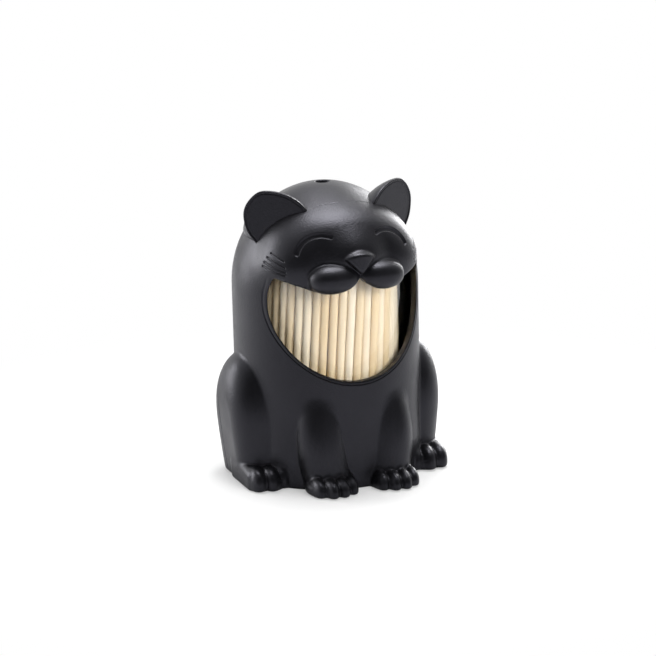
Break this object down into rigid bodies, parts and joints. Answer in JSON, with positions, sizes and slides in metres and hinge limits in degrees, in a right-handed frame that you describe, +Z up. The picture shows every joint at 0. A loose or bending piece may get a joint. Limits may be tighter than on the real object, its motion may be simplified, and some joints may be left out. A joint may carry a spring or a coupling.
{
  "type": "toothpick dispenser",
  "caption": "Free-standing toothpick dispenser shaped as a sitting cat, with a mouth window over a clear cup of picks and an outlet hole in the crown.",
  "frame": {"origin": "on the table, on the axis of the round body", "axes": "+Z up along the body's axis, the cat faces -Y, +X towards its left ear"},
  "size_m": [0.0632, 0.0622, 0.0821],
  "materials": {
    "cat_shell": "fine grained matte black",
    "plug": "matte black",
    "clear_cup": "clear, glossy",
    "picks": "bare, smooth"
  },
  "bodies": {
    "refill_cup": {"base_plug": "plug", "pick_cup": "clear_cup", "toothpick_ring_1": "picks", "toothpick_ring_2": "picks", "toothpick_ring_3": "picks", "toothpick_ring_4": "picks", "toothpick_ring_5": "picks", "toothpick_ring_6": "picks", "toothpick_ring_7": "picks", "toothpick_ring_8": "picks"},
    "cat": {"front_shell": "cat_shell", "rear_shell": "cat_shell"},
    "next_pick": {"next_toothpick": "picks"}
  },
  "joints": [
    {"name": "cat_lift", "type": "slide", "parent": "refill_cup", "child": "cat", "axis": [0, 0, 1], "range_m": [0, 0.075]},
    {"name": "pick_slide", "type": "slide", "parent": "refill_cup", "child": "next_pick", "axis": [0, 0, 1], "range_m": [0, 0.08]}
  ]
}
